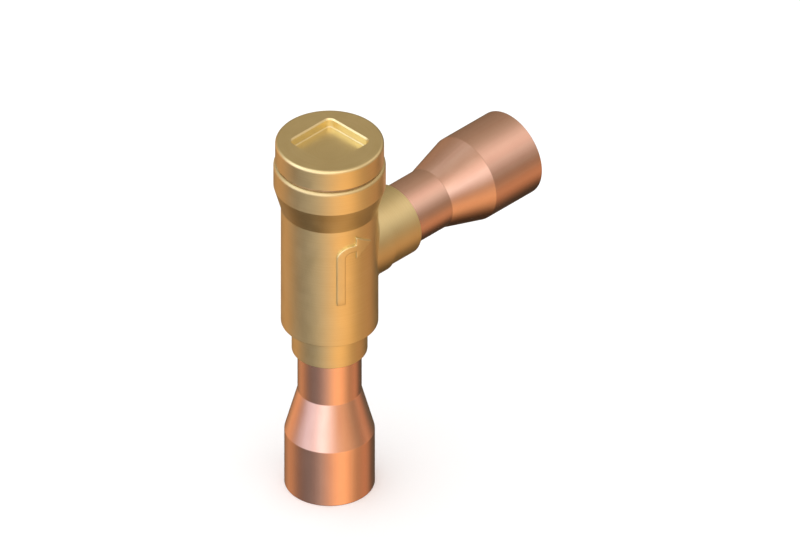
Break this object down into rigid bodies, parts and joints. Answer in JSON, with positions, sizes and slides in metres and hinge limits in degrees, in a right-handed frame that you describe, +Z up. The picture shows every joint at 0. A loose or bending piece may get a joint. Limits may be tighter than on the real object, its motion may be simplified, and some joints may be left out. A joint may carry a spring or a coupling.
{
  "type": "refrigerant non-return valve",
  "caption": "Angle non-return valve for refrigerant pipes: round brass body with screwed cap, spring-loaded piston inside, and copper solder sockets at foot and side.",
  "frame": {"origin": "centre of the inlet socket's mouth", "axes": "+Z up the valve's axis from the inlet to the cap, +X along the outlet, away from the body"},
  "size_m": [0.1065, 0.0384, 0.142],
  "materials": {
    "forged_brass": "satin, forged and turned",
    "turned_brass": "fine turned",
    "copper_tube": "drawn copper, satin",
    "soft_copper": "annealed copper, dull",
    "spring_steel": "drawn stainless wire",
    "stainless": "bright stainless",
    "white_ptfe": "waxy white",
    "filled_ptfe": "carbon-filled, dull dark grey",
    "braze_metal": "silver-bearing filler, smooth"
  },
  "bodies": {
    "housing": {"valve_body": "forged_brass", "bonnet_cap": "turned_brass", "cap_gasket": "soft_copper", "guide_sleeve": "turned_brass", "return_spring": "spring_steel", "inlet_tube": "copper_tube", "outlet_tube": "copper_tube", "inlet_solder": "braze_metal", "outlet_solder": "braze_metal"},
    "piston_group": {"piston": "turned_brass", "damping_ring": "filled_ptfe", "sealing_disc": "white_ptfe", "disc_washer": "stainless", "lock_washer": "stainless", "disc_screw": "stainless"}
  },
  "joints": [
    {"name": "piston_lift", "type": "slide", "parent": "housing", "child": "piston_group", "axis": [0, 0, 1], "range_m": [0, 0.01], "stiffness_N_per_m": 220, "springref_m": -0.01, "deforming": ["return_spring"]}
  ]
}
